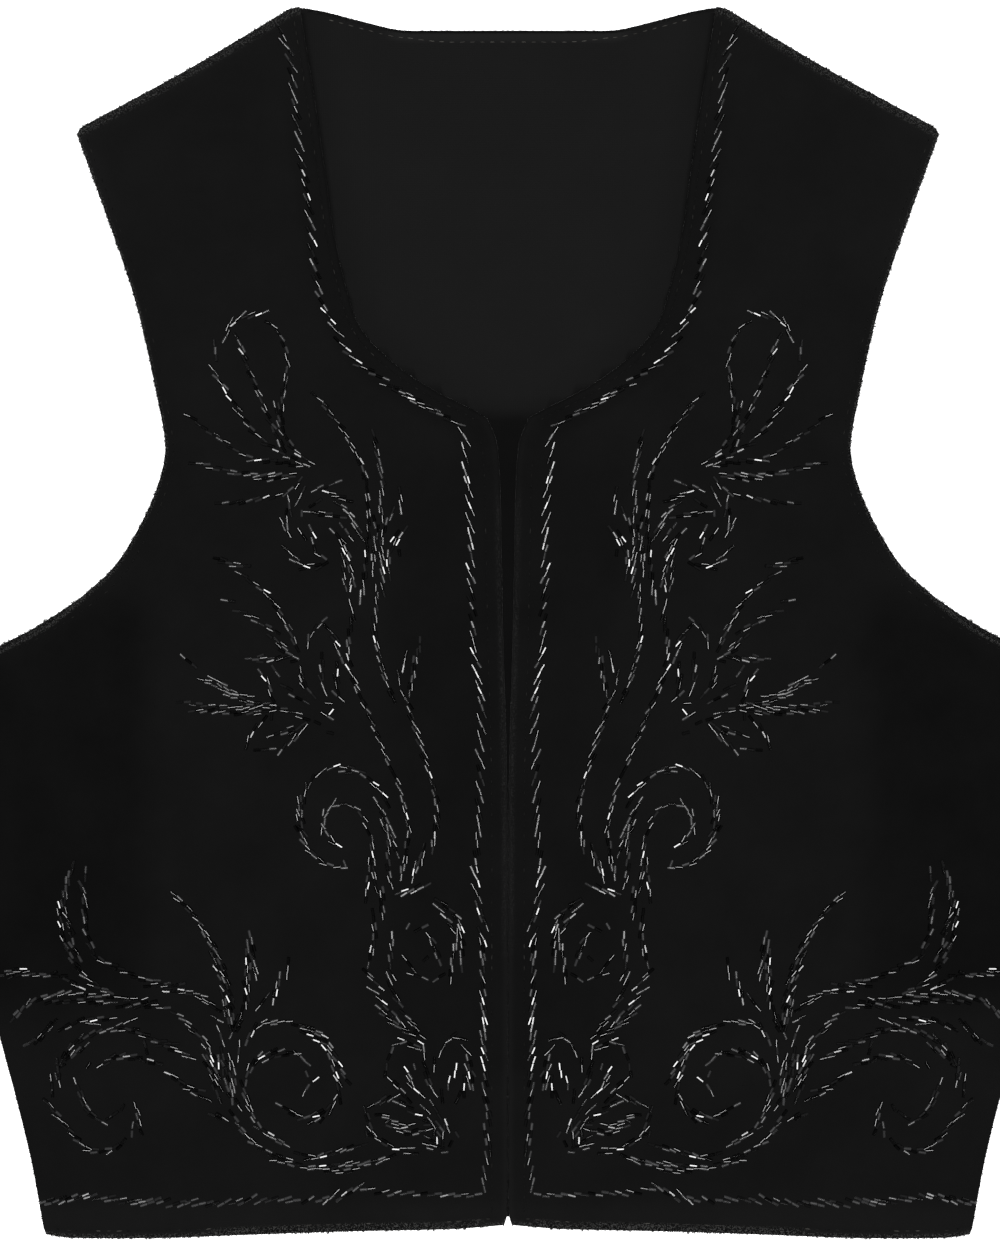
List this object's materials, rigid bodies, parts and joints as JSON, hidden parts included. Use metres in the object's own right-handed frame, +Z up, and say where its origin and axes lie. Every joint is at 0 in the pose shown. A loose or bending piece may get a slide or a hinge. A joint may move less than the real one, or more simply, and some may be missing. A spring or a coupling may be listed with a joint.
{
  "type": "embroidered folk vest",
  "caption": "Waist-length sleeveless velvet vest, lying flat with its fronts up and edge to edge, covered in bead scrolls and flowers, its lining showing in the neck.",
  "frame": {"origin": "middle of the bounding box, at the height of the surface that the back lies on", "axes": "+X towards the wearer's left, +Y towards the neck, +Z up through the fronts"},
  "size_m": [0.4718, 0.5178, 0.0088],
  "materials": {
    "black_velvet": "short upright pile with a soft sheen",
    "black_lining": "smooth satin weave"
  },
  "bodies": {
    "root": {"back": "black_velvet", "back_lining": "black_lining", "front_left": "black_velvet", "front_right": "black_velvet"}
  },
  "joints": []
}
